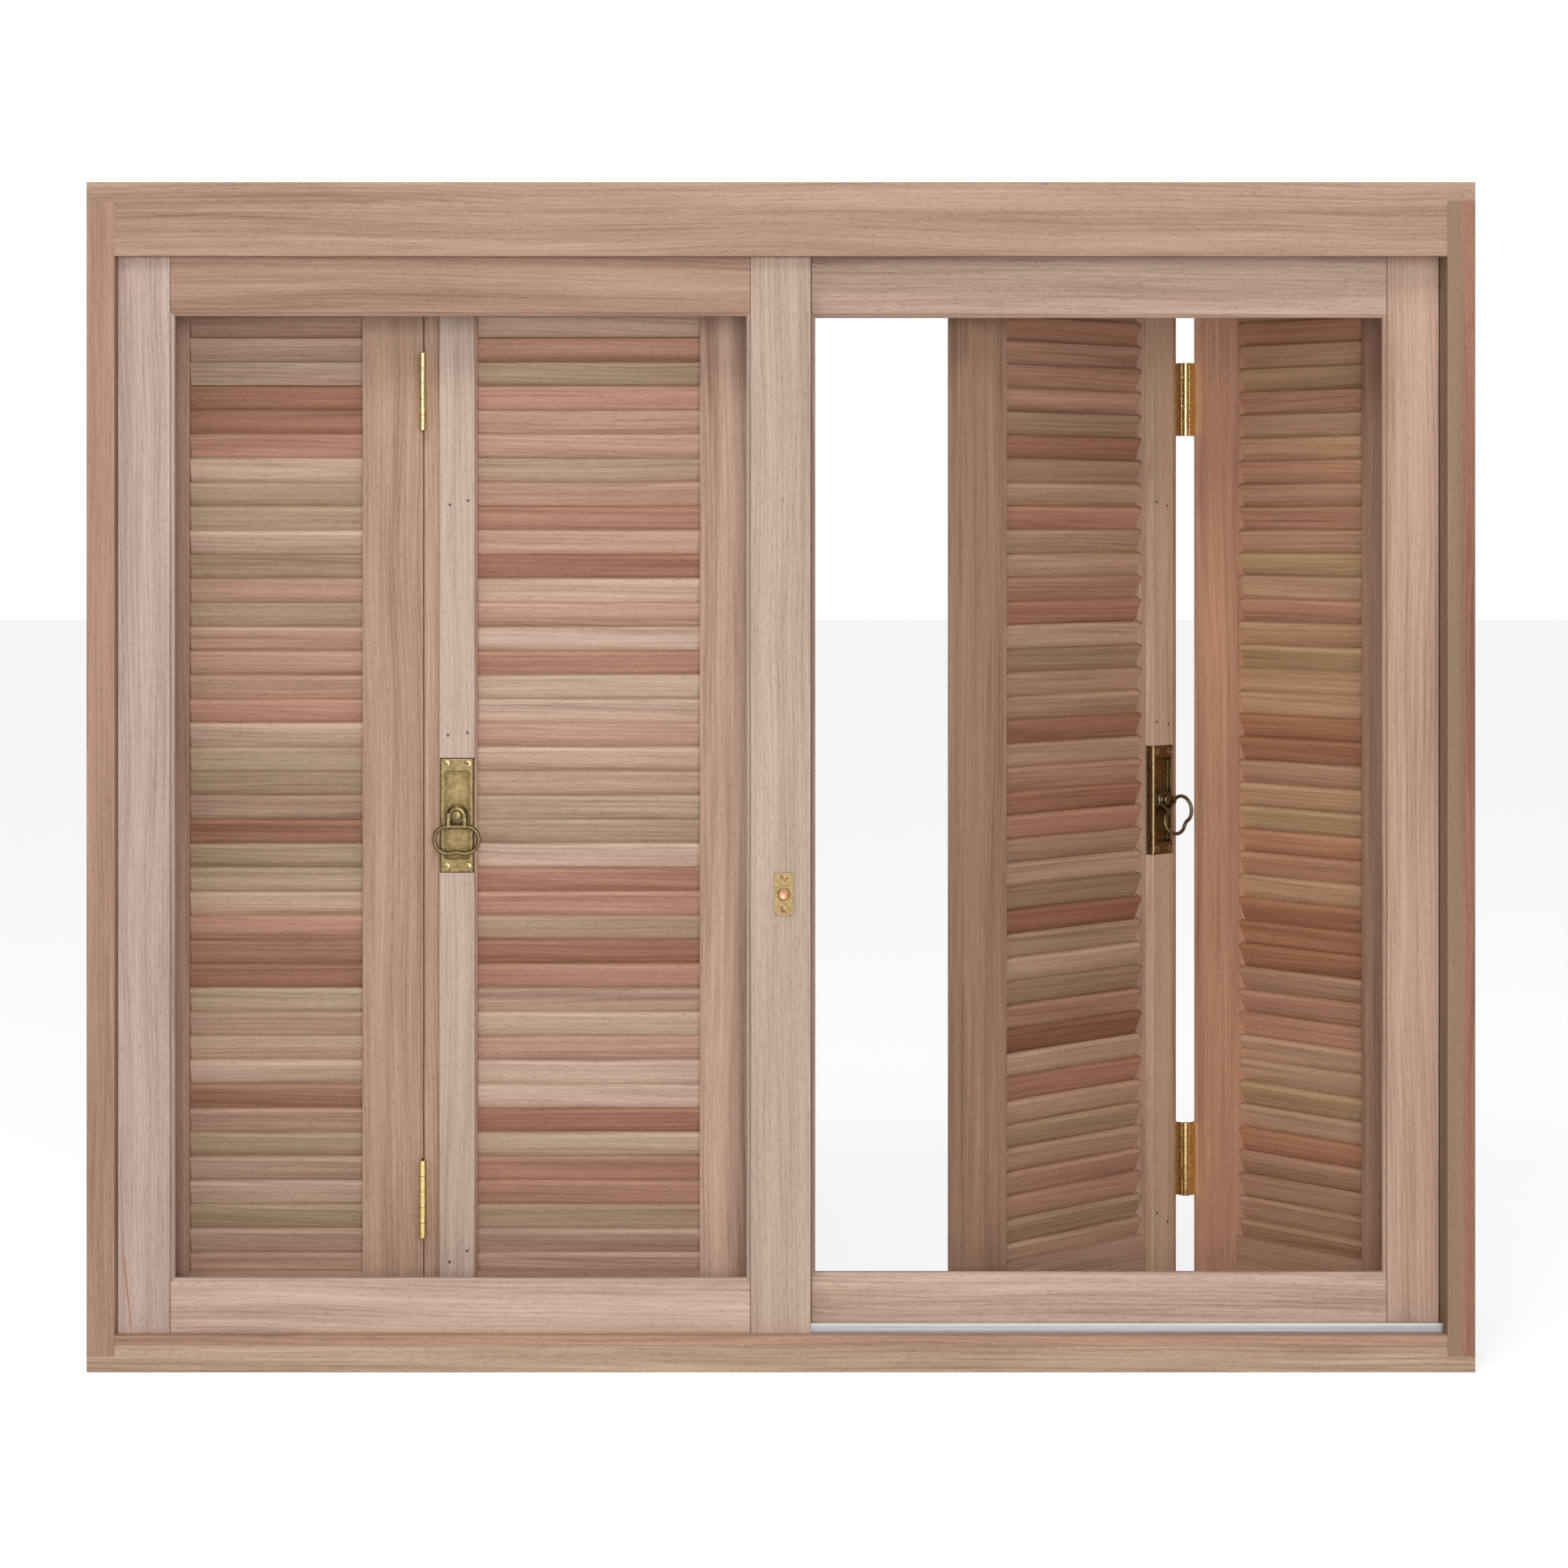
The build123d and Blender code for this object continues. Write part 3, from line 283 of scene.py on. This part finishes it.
# Tones of the boards of each node
finishes = {
    "head": wood("head wood", "x", [(0.462, 0.299, 0.207)], seed=1.2),
    "sill": wood("sill wood", "x", [(0.516, 0.362, 0.250)], seed=2.6, streak=1.2),
    "pelmet": wood("pelmet wood", "x", [(0.437, 0.271, 0.185)], seed=3.9),
    "bottom_bead": wood("bead wood", "x", [(0.503, 0.311, 0.205)], seed=4.4),
    "jamb_left": wood("left jamb wood", "z", [(0.423, 0.252, 0.172)], seed=5.3),
    "jamb_right": wood("right jamb wood", "z", [(0.336, 0.164, 0.103)], seed=6.1,
                       marks=(side_band(0.687, 0.004, (0.30, 0.25, 0.16), 0.5),)),
    "centre_post": wood("post wood", "z", [(0.46, 0.29, 0.20)], seed=7.7),
    "left_sash_stiles": wood("left sash stile wood", "z", [(0.548, 0.407, 0.337), (0.528, 0.383, 0.302)],
                             ("x", [-0.3]), seed=8.2, streak=0.7,
                             marks=(resin_line(-0.6650, 0.1164, -0.6571, 0.0370, (0.45, 0.16, 0.05)),
                                    seams(-0.618, -0.031))),
    "left_sash_rails": wood("left sash rail wood", "x", [(0.600, 0.422, 0.334), (0.436, 0.269, 0.191)],
                            ("z", [0.6]), seed=9.4, marks=(seams(-0.618, -0.031),)),
    "right_sash_stiles": wood("right sash stile wood", "z", [(0.52, 0.355, 0.262), (0.539, 0.355, 0.265)],
                              ("x", [0.3]), seed=10.8, marks=(seams(0.618, 0.031),)),
    "right_sash_rails": wood("right sash rail wood", "x", [(0.640, 0.450, 0.348), (0.508, 0.349, 0.268)],
                             ("z", [0.6]), seed=11.5, marks=(seams(0.618, 0.031),)),
    "leaf_1_stiles": wood("leaf 1 stile wood", "z", [(0.412, 0.243, 0.176), (0.468, 0.295, 0.208)],
                          ("x", [-0.5]), seed=12.9),
    "leaf_1_rails": wood("leaf 1 rail wood", "x", [(0.46, 0.30, 0.21)], seed=13.3),
    "leaf_1_slats": wood("leaf 1 slat wood", "x", [(0.469, 0.307, 0.221)], slatted=slat_casts, seed=14.7),
    "leaf_2_stiles": wood("leaf 2 stile wood", "z", [(0.50, 0.32, 0.23), (0.558, 0.363, 0.270)],
                          ("x", [-0.2]), seed=15.1),
    "leaf_2_rails": wood("leaf 2 rail wood", "x", [(0.45, 0.29, 0.21)], seed=16.6),
    "leaf_2_slats": wood("leaf 2 slat wood", "x", [(0.524, 0.348, 0.261)], slatted=slat_casts, seed=17.2),
    "leaf_2_battens": wood("leaf 2 batten wood", "z", [(0.574, 0.423, 0.341)], seed=18.8, streak=0.6),
    "leaf_3_stiles": wood("leaf 3 stile wood", "z", [(0.402, 0.240, 0.160), (0.46, 0.29, 0.21)],
                          ("x", [0.2]), leaf=3, seed=19.4),
    "leaf_3_rails": wood("leaf 3 rail wood", "x", [(0.44, 0.27, 0.19)], leaf=3, seed=20.9),
    "leaf_3_slats": wood("leaf 3 slat wood", "x", [(0.430, 0.257, 0.172)], slatted=slat_casts,
                         leaf=3, seed=21.5),
    "leaf_3_battens": wood("leaf 3 batten wood", "z", [(0.56, 0.386, 0.266)], leaf=3, seed=22.1, streak=0.6),
    "leaf_4_stiles": wood("leaf 4 stile wood", "z", [(0.540, 0.296, 0.188), (0.400, 0.238, 0.162)],
                          ("x", [0.5]), leaf=4, seed=23.8),
    "leaf_4_rails": wood("leaf 4 rail wood", "x", [(0.44, 0.26, 0.17)], leaf=4, seed=24.2),
    "leaf_4_slats": wood("leaf 4 slat wood", "x", [(0.460, 0.270, 0.165)], slatted=slat_casts,
                         leaf=4, seed=25.6),
}
brass = metal("polished brass", (0.86, 0.66, 0.30), (0.62, 0.45, 0.16), (0.95, 0.82, 0.50), 0.26)
bronze = metal("antique bronze", (0.30, 0.22, 0.10), (0.13, 0.09, 0.04), (0.62, 0.50, 0.28), 0.36,
               mottle=0.6, recess=0.85)
copper = metal("copper bronze", (0.46, 0.24, 0.13), (0.28, 0.13, 0.07), (0.75, 0.45, 0.28), 0.32)
bronze_screw = metal("worn screw bronze", (0.50, 0.38, 0.18), (0.24, 0.17, 0.08), (0.75, 0.62, 0.36), 0.34,
                     mottle=0.3, recess=0.9)
nail_steel = metal("nail head steel", (0.16, 0.12, 0.10), (0.07, 0.05, 0.04), (0.3, 0.25, 0.2), 0.5)
steel = plain("zinc plated steel", (0.55, 0.56, 0.57), 0.34, 1.0)
aluminium = plain("drawn aluminium", (0.62, 0.63, 0.64), 0.38, 1.0, lines=True)
nylon = plain("grey nylon", (0.10, 0.10, 0.10), 0.45)
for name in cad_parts:
    if name in finishes:
        continue
    if "wheel" in name:
        finishes[name] = nylon
    elif "track" in name or "guide" in name:
        finishes[name] = aluminium
    elif "hanger" in name:
        finishes[name] = steel
    elif "button" in name:
        finishes[name] = copper
    elif "latch" in name or name.endswith(("handle", "hub", "ring")):
        finishes[name] = bronze
    else:
        finishes[name] = brass
for name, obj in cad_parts.items():
    if not obj.material_slots:
        obj.data.materials.append(None)
    for place in obj.material_slots:
        place.link = "OBJECT"
        place.material = finishes[name]

# Places taken from the part: the bolt line of leaf 2, its handle and ring, the latch and the hinges
rod_x, handle_z, leaf_face, handle_face = -0.3345, 0.5548, 0.030, 0.0203
ring_y, bar_z = 0.017, 0.5433
latch_x, latch_z, sash_face = 0.003, 0.481, -0.056
jamb_line, fold_line = (-0.671, 0.061), (-0.3695, 0.017)
hinge_middles, hinge_half = (0.159, 0.992), 0.04
knuckle_pitch, knuckle_gap = 0.0803 / 5, 0.0003


def spin(points, pin, axis, degrees):
    """Points turned about an axis through a pin: along the axis they keep their place, across it they
    go through cosine and sine of the angle."""
    a, k = math.radians(degrees), np.asarray(axis, float)
    p = points - np.asarray(pin, float)
    return (p * math.cos(a) + np.cross(k, p) * math.sin(a) + np.outer(p @ k, k) * (1 - math.cos(a))
            + np.asarray(pin, float))


def stand_open(points, folded=True):
    """Points of the left pair mirrored, then folded and swung to where the open pair stands."""
    p = points * np.array([-1, 1, 1])
    if folded:
        p = spin(p, (fold_pin[0], fold_pin[1], 0), (0, 0, 1), fold_turn)
    return spin(p, (jamb_pin[0], jamb_pin[1], 0), (0, 0, 1), -open_turn)


def turned(profile, centre, axis, steps=40):
    """A turned piece: each profile point (radius, distance along the axis) goes round in a circle."""
    a = np.asarray(axis, float)
    u = np.cross(a, (0.0, 0.0, 1.0) if abs(a[2]) < 0.9 else (0.0, 1.0, 0.0))
    u /= np.linalg.norm(u)
    v = np.cross(a, u)
    r, h = np.array(profile, float).T
    t = np.linspace(0, 2 * math.pi, steps, endpoint=False)
    round_ = np.cos(t)[:, None] * u + np.sin(t)[:, None] * v
    grid = np.asarray(centre) + r[:, None, None] * round_[None] + h[:, None, None] * a
    return wrapped(grid, caps=(np.asarray(centre) + h[0] * a, np.asarray(centre) + h[-1] * a))


def wrapped(grid, caps=None):
    """Faces for rows of points that close on themselves; caps are the poles, without them the rows
    also close end to end."""
    rows, cols = grid.shape[:2]
    points = grid.reshape(-1, 3)
    i = np.arange(rows if caps is None else rows - 1)[:, None]
    j = np.arange(cols)[None]
    k = (j + 1) % cols
    n = (i + 1) % rows
    quads = np.stack([i * cols + j, i * cols + k, n * cols + k, n * cols + j], -1).reshape(-1, 4)
    faces = quads.tolist()
    if caps is not None:
        low, high = len(points), len(points) + 1
        points = np.vstack([points, caps])
        j, k = j[0], k[0]
        faces += np.stack([j * 0 + low, k, j], -1).tolist()
        faces += np.stack([j * 0 + high, (rows - 1) * cols + j, (rows - 1) * cols + k], -1).tolist()
    return points, faces


def slab(outline, low, high, axis="y"):
    """A flat piece: an outline in the front view (or along x, in the side view), given a thickness."""
    o = np.array(outline, float)
    n = len(o)
    if axis == "y":
        ends = [np.stack([o[:, 0], np.full(n, d), o[:, 1]], -1) for d in (low, high)]
    elif axis == "z":
        ends = [np.stack([o[:, 0], o[:, 1], np.full(n, d)], -1) for d in (high, low)]
    else:
        ends = [np.stack([np.full(n, d), o[:, 0], o[:, 1]], -1) for d in (high, low)]
    j = np.arange(n)
    k = (j + 1) % n
    faces = np.stack([j, n + j, n + k, k], -1).tolist() + [j.tolist(), (n + j[::-1]).tolist()]
    return np.vstack(ends), faces


def wire(path, flat_of, radius, steps=16):
    """A round wire along a closed flat path: each cut is a circle square to the path."""
    ahead = np.roll(path, -1, 0) - np.roll(path, 1, 0)
    ahead /= np.linalg.norm(ahead, axis=1)[:, None]
    flat = np.asarray(flat_of, float)
    side = np.cross(flat, ahead)
    t = np.linspace(0, 2 * math.pi, steps, endpoint=False)
    circle = np.cos(t)[None, :, None] * side[:, None] + np.sin(t)[None, :, None] * flat
    return wrapped(path[:, None] + radius * circle)


def together(*parts):
    """Several closed shapes as one piece."""
    points, faces, start = [], [], 0
    for p, fs in parts:
        points.append(p)
        faces += [[i + start for i in face] for face in fs]
        start += len(p)
    return np.vstack(points), faces


def piece(name, shape, finish, body, stands_for=(), mirrored=False, place=None, round_off=None):
    """Puts a shape into the scene on its body; a mirrored one has its faces turned round."""
    points, faces = shape
    if place is not None:
        points = place(points)
    if mirrored:
        faces = [face[::-1] for face in faces]
    mesh = bpy.data.meshes.new(name)
    mesh.from_pydata(points.tolist(), [], faces)
    mesh.polygons.foreach_set("use_smooth", np.ones(len(mesh.polygons), bool))
    mesh.materials.append(finish)
    obj = bpy.data.objects.new(name, mesh)
    scene.collection.objects.link(obj)
    mesh.set_sharp_from_angle(angle=math.radians(32))
    if round_off:
        bevel = obj.modifiers.new("edges", "BEVEL")
        bevel.width, bevel.segments, bevel.limit_method = round_off, 2, "ANGLE"
        bevel.angle_limit = math.radians(40)
    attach(obj, body)
    if stands_for:
        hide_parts(*stands_for)
    return obj


def arc(cx, cz, radius, start, end, steps):
    """Points of an arc in the front view, from one angle to another."""
    t = np.radians(np.linspace(start, end, steps, endpoint=False))
    return np.stack([cx + radius * np.cos(t), cz + radius * np.sin(t)], -1)


def drop_ring():
    """The ring's wire line: a bar, round shoulders, a wider belly and a shallow dent at the foot, which
    is a raised cosine."""
    foot, low = 0.008, bar_z - 0.028
    dent = np.linspace(foot, -foot, 12, endpoint=False)
    half = np.stack([dent, low + 0.00075 * (1 + np.cos(math.pi * dent / foot))], -1)
    mid = bar_z - 0.013
    flat = np.vstack([arc(0.010, mid, 0.013, 90, 0, 12), arc(foot, mid, 0.015, 0, -90, 14), half,
                      arc(-foot, mid, 0.015, -90, -180, 14), arc(-0.010, mid, 0.013, 180, 90, 12),
                      np.stack([np.linspace(-0.010, 0.010, 6, endpoint=False), np.full(6, bar_z)], -1)])
    line = np.stack([rod_x + flat[:, 0], np.full(len(flat), ring_y), flat[:, 1]], -1)
    return wire(line, (0, 1, 0), 0.002)


def handle_hub():
    """The hub in the dish: a turned boss with a disc behind it, and two lugs that carry the ring."""
    boss = turned([(0.0134, 0.0003), (0.0134, 0.0029), (0.0052, 0.0029), (0.0052, 0.005), (0.0108, 0.005),
                   (0.0108, 0.0066), (0.0104, 0.0070), (0.0094, 0.0074), (0.0092, 0.0102), (0.0084, 0.0110),
                   (0.0056, 0.0113), (0.0052, 0.0118), (0.0052, 0.0162), (0.0046, 0.0170), (0.0034, 0.0174)],
                  (rod_x, leaf_face, handle_z), (0, -1, 0))
    t = np.radians(np.linspace(190, 380, 14))
    foot = np.stack([ring_y + 0.003 * np.cos(t), bar_z + 0.003 * np.sin(t)], -1)
    outline = np.vstack([foot, [(ring_y + 0.0034, handle_z - 0.007), (ring_y + 0.0052, handle_z + 0.002),
                                (ring_y - 0.0010, handle_z + 0.002), (ring_y - 0.0024, handle_z - 0.002)]])
    lugs = [slab(outline, x - 0.0014, x + 0.0014, "x") for x in (rod_x - 0.0083, rod_x + 0.0083)]
    return together(boss, *lugs)


def cross_screw(x, y, z, radius, rise, turn):
    """A screw head with a cross recess: a dome whose height drops inside two crossed slots."""
    r = np.concatenate([np.linspace(0.04, 0.8, 15), np.linspace(0.86, 1.0, 5), [1.0]]) * radius
    t = np.linspace(0, 2 * math.pi, 64, endpoint=False)
    rr, tt = np.meshgrid(r, t + turn, indexing="ij")
    across, up = rr * np.cos(tt), rr * np.sin(tt)
    long_, thin = 0.62 * radius, 0.13 * radius
    arms = np.maximum((np.abs(across) < thin) & (np.abs(up) < long_),
                      (np.abs(up) < thin) & (np.abs(across) < long_))
    recess = 0.30 * radius
    out = rise * (1 - 0.55 * (rr / radius) ** 2) - arms * recess
    out[-1] = -0.0002
    grid = np.stack([x + rr * np.cos(tt - turn), y - out, z + rr * np.sin(tt - turn)], -1)
    return wrapped(grid[::-1], caps=(np.array([x, y + 0.0002, z]), np.array([x, y - rise + recess, z])))


def knuckles(pin, radius, first):
    """Round knuckles of both hinges on a line, from the first one, every other one."""
    parts = []
    for middle in hinge_middles:
        for i in range(first, 5, 2):
            z0 = middle - hinge_half + i * knuckle_pitch
            z1 = z0 + knuckle_pitch - knuckle_gap
            parts.append(turned([(radius - 0.0003, 0.0), (radius, 0.0003), (radius, z1 - z0 - 0.0003),
                                 (radius - 0.0003, z1 - z0)], (*pin, z0), (0, 0, 1), 28))
    return parts


def box(x0, x1, y0, y1):
    """The outline in plan of a square-edged plate."""
    return [(x0, y0), (x1, y0), (x1, y1), (x0, y1)]


def plates(x0, x1, y0, y1, pin, first):
    """Both hinge plates on a line with the tabs that reach their knuckles."""
    parts = []
    tab = box(x0 + 0.0001, x1 - 0.0001, min(y0, pin[1]) + 0.0001, max(y1, pin[1]))
    for middle in hinge_middles:
        parts.append(slab(box(x0, x1, y0, y1), middle - hinge_half, middle + hinge_half, "z"))
        for i in range(first, 5, 2):
            z0 = middle - hinge_half + i * knuckle_pitch
            parts.append(slab(tab, z0, z0 + knuckle_pitch - knuckle_gap, "z"))
    return parts


def rounded(cx, cz, wide, tall, radius):
    """A rectangle in the front view with round corners."""
    a, b = wide / 2 - radius, tall / 2 - radius
    return np.vstack([arc(cx + a, cz + b, radius, 0, 90, 6), [(cx + a, cz + b + radius)],
                      arc(cx - a, cz + b, radius, 90, 180, 6), [(cx - a - radius, cz + b)],
                      arc(cx - a, cz - b, radius, 180, 270, 6), [(cx - a, cz - b - radius)],
                      arc(cx + a, cz - b, radius, 270, 360, 6), [(cx + a + radius, cz - b)]])


def hub_open(points):
    """The handle of the open pair is turned half way."""
    return stand_open(spin(points, (rod_x, 0, handle_z), (0, 1, 0), 45))


def ring_open(points):
    """The ring of the open pair also hangs out from its hub."""
    return hub_open(spin(points, (0, ring_y, bar_z), (1, 0, 0), -15))


# Handles, rings and their screws
piece("ring_2_wire", drop_ring(), bronze, "ring_2", ["leaf_2_ring"])
piece("ring_3_wire", drop_ring(), bronze, "ring_3", ["leaf_3_ring"], True, ring_open)
piece("hub_2_boss", handle_hub(), bronze, "handle_2", ["leaf_2_hub"])
piece("hub_3_boss", handle_hub(), bronze, "handle_3", ["leaf_3_hub"], True, hub_open)
screw_places = [(rod_x + sx * 0.01105, handle_z + sz * 0.0529) for sx in (-1, 1) for sz in (-1, 1)]
handle_screws = together(*[cross_screw(x, handle_face, z, 0.0038, 0.0008, turn)
                           for (x, z), turn in zip(screw_places, (0.3, 0.9, 0.5, 1.2))])
piece("handle_2_screws", handle_screws, bronze_screw, "leaf_2")
piece("handle_3_screws", handle_screws, bronze_screw, "leaf_3", mirrored=True, place=stand_open)
nail_places = [(-0.34187, 0.8753), (-0.32315, 0.8795), (-0.3439, 0.6373), (-0.3236, 0.6400),
               (-0.3240, 0.1052), (-0.3420, 0.0937)]
nails = together(*[turned([(0.0015, -0.0004), (0.0015, 0.0001), (0.0011, 0.0003), (0.0004, 0.0004)],
                          (x, leaf_face - 0.0094, z), (0, -1, 0), 14) for x, z in nail_places])
piece("batten_nails_2", nails, nail_steel, "leaf_2")
piece("batten_nails_3", nails, nail_steel, "leaf_3", mirrored=True, place=stand_open)

# Latch on the front sash
latch_outline = rounded(latch_x, latch_z, 0.020, 0.043, 0.0025)
piece("latch_face", slab(latch_outline, sash_face - 0.0016, sash_face), bronze, "left_sash",
      ["latch_plate"], round_off=0.0003)
piece("latch_press_cap", turned([(0.006, -0.008), (0.006, 0.0029), (0.0056, 0.0035), (0.0047, 0.0038),
                                 (0.0040, 0.0036), (0.0010, 0.0034)],
                                (latch_x, sash_face, latch_z), (0, -1, 0)),
      copper, "latch_press_button", ["latch_button"])
latch_screws = together(*[cross_screw(latch_x, sash_face - 0.0014, latch_z + dz, 0.0033, 0.0010, turn)
                          for dz, turn in ((-0.0163, 0.7), (0.0163, 0.1))])
piece("latch_cross_screws", latch_screws, copper, "left_sash", ["latch_screws"])

# Hinges: round knuckles and the plates that carry them
for name, pin, (x0, x1, y0, y1), radius, first, body, twin, twin_body, folded in (
        ("jamb_hinge_left", jamb_line, (-0.6735, -0.672, 0.036, 0.057), 0.0035, 0, "window_frame",
         "jamb_hinge_right", "window_frame", None),
        ("leaf_1_edge_hinge", jamb_line, (-0.670, -0.6685, 0.036, 0.057), 0.0035, 1, "leaf_1",
         "leaf_4_edge_hinge", "leaf_4", False),
        ("leaf_1_fold_hinge", fold_line, (-0.3715, -0.370, 0.0212, 0.045), 0.0036, 0, "leaf_1",
         "leaf_4_fold_hinge", "leaf_4", False),
        ("leaf_2_fold_hinge", fold_line, (-0.369, -0.3675, 0.0212, 0.045), 0.0036, 1, "leaf_2",
         "leaf_3_fold_hinge", "leaf_3", True)):
    half = together(*knuckles(pin, radius, first), *plates(x0, x1, y0, y1, pin, first))
    piece(name + "_knuckles", half, brass, body, [name])
    mirror_only = lambda p: p * np.array([-1, 1, 1])
    opened = lambda p, folded=folded: stand_open(p, folded)
    piece(twin + "_knuckles", half, brass, twin_body, [twin], True, mirror_only if folded is None else opened)

# Floor, light and camera
f = Finish("studio floor")
lit = f.add("ShaderNodeBsdfDiffuse", Color=(0.82, 0.82, 0.82, 1))
seen = f.add("ShaderNodeLightPath")
looked_at = f.sum("MAXIMUM", seen.outputs["Is Camera Ray"], seen.outputs["Is Glossy Ray"])
glow = f.add("ShaderNodeEmission", Color=(1, 1, 1, 1), Strength=f.sum("MULTIPLY", looked_at, 0.62))
both = f.add("ShaderNodeAddShader", i0=lit.outputs[0], i1=glow.outputs[0])
f.tree.links.new(both.outputs[0], f.add("ShaderNodeOutputMaterial").inputs[0])
floor_mesh = bpy.data.meshes.new("studio_floor")
floor_mesh.from_pydata([(-30, -30, 0), (30, -30, 0), (30, 30, 0), (-30, 30, 0)], [], [(0, 1, 2, 3)])
floor = bpy.data.objects.new("studio_floor", floor_mesh)
scene.collection.objects.link(floor)
floor_mesh.materials.append(f.material)

world = bpy.data.worlds.new("studio")
world.use_nodes = True
scene.world = world
nodes, links = world.node_tree.nodes, world.node_tree.links
nodes.clear()
path = nodes.new("ShaderNodeLightPath")
seen_white = nodes.new("ShaderNodeMath")
seen_white.operation = "MAXIMUM"
links.new(path.outputs["Is Camera Ray"], seen_white.inputs[0])
links.new(path.outputs["Is Transmission Ray"], seen_white.inputs[1])
mixed = nodes.new("ShaderNodeMixShader")
even, white = nodes.new("ShaderNodeBackground"), nodes.new("ShaderNodeBackground")
even.inputs[0].default_value, even.inputs[1].default_value = (0.97, 0.99, 1.0, 1), 0.36
white.inputs[0].default_value, white.inputs[1].default_value = (1, 1, 1, 1), 1.0
links.new(seen_white.outputs[0], mixed.inputs[0])
links.new(even.outputs[0], mixed.inputs[1])
links.new(white.outputs[0], mixed.inputs[2])
links.new(mixed.outputs[0], nodes.new("ShaderNodeOutputWorld").inputs[0])


def soft_box(name, place, aim, size, power):
    """A square studio light at a place, turned to face a point."""
    light = bpy.data.lights.new(name, "AREA")
    light.size, light.energy = size, power
    lamp = bpy.data.objects.new(name, light)
    scene.collection.objects.link(lamp)
    lamp.location = place
    way = np.array(aim, float) - np.array(place, float)
    lamp.rotation_euler = (math.atan2(math.hypot(way[0], way[1]), -way[2]), 0,
                           math.atan2(-way[0], way[1]))


soft_box("key light", (-0.8, -3.2, 3.8), (0, 0, 0.6), 1.4, 50)
soft_box("front light", (0.5, -5.2, 1.3), (0, 0, 0.6), 1.8, 122)

camera_data = bpy.data.cameras.new("camera")
camera = bpy.data.objects.new("camera", camera_data)
scene.collection.objects.link(camera)
camera.location = (0.0031, -3.870, 0.855)
camera.rotation_euler = (math.radians(90), 0, 0)
camera_data.lens, camera_data.sensor_width, camera_data.shift_y = 86.54, 36, -0.16556
scene.camera = camera
scene.view_settings.view_transform = "Standard"
